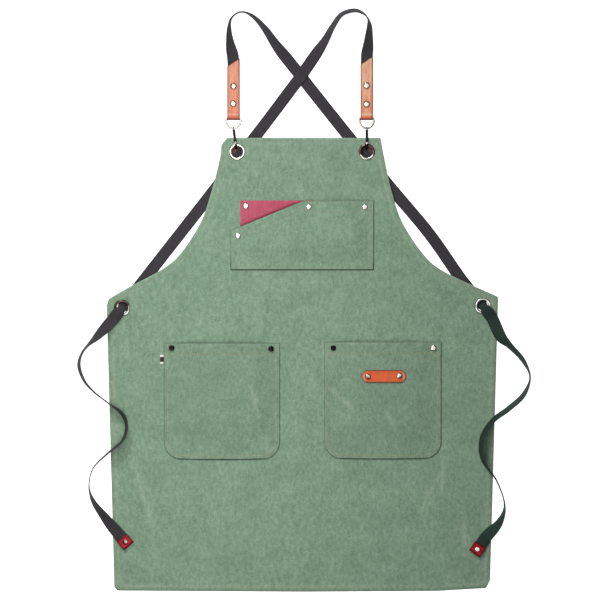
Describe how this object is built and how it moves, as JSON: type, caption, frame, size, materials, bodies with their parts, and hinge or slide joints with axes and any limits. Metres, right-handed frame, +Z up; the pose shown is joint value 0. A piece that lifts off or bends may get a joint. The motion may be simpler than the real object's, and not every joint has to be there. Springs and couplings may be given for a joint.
{
  "type": "kitchen apron",
  "caption": "Cross-back canvas work apron laid flat, with bib pocket, hip pockets, leather tabs, snap hooks, grommets and long webbing ties.",
  "frame": {"origin": "centre of the laid-out apron on the floor", "axes": "+X across the apron, +Y from the hem to the shoulder loops, +Z up from the floor"},
  "size_m": [0.8024, 1.0328, 0.0269],
  "materials": {
    "canvas": "washed sage green cotton canvas",
    "red_cloth": "red cotton lining",
    "webbing": "charcoal cotton webbing with fine cross ribs",
    "label_ribbon": "woven ribbon in plain stripes",
    "tan_leather": "glossy tan vegetable leather with dark edges",
    "red_leather": "glossy deep red leather",
    "nickel": "polished nickel",
    "dark_metal": "polished dark metal"
  },
  "bodies": {
    "root": {"body_panel": "canvas", "bib_pocket": "canvas", "hip_pocket_left": "canvas", "hip_pocket_right": "canvas", "bib_pocket_lining": "red_cloth", "strap_left_shoulder": "webbing", "strap_right_shoulder": "webbing", "pocket_side_label": "label_ribbon", "leather_strip": "tan_leather", "shoulder_tab_left": "tan_leather", "shoulder_tab_right": "tan_leather", "strap_tip_left": "red_leather", "strap_tip_right": "red_leather", "grommet_bib_left": "nickel", "grommet_bib_right": "nickel", "grommet_waist_left": "nickel", "grommet_waist_right": "nickel", "d_ring_left": "nickel", "d_ring_right": "nickel", "rivet_bib_lining": "nickel", "rivet_bib_middle": "nickel", "rivet_bib_right": "nickel", "rivet_bib_left": "nickel", "rivet_hip_right_outer": "nickel", "rivet_strip_left": "nickel", "rivet_strip_right": "nickel", "rivet_tab_left_upper": "nickel", "rivet_tab_left_lower": "nickel", "rivet_tab_right_upper": "nickel", "rivet_tab_right_lower": "nickel", "rivet_tip_left": "nickel", "rivet_tip_right": "nickel", "snap_hook_left": "dark_metal", "snap_hook_right": "dark_metal", "rivet_hip_left_outer": "dark_metal", "rivet_hip_left_inner": "dark_metal", "rivet_hip_right_inner": "dark_metal"}
  },
  "joints": []
}
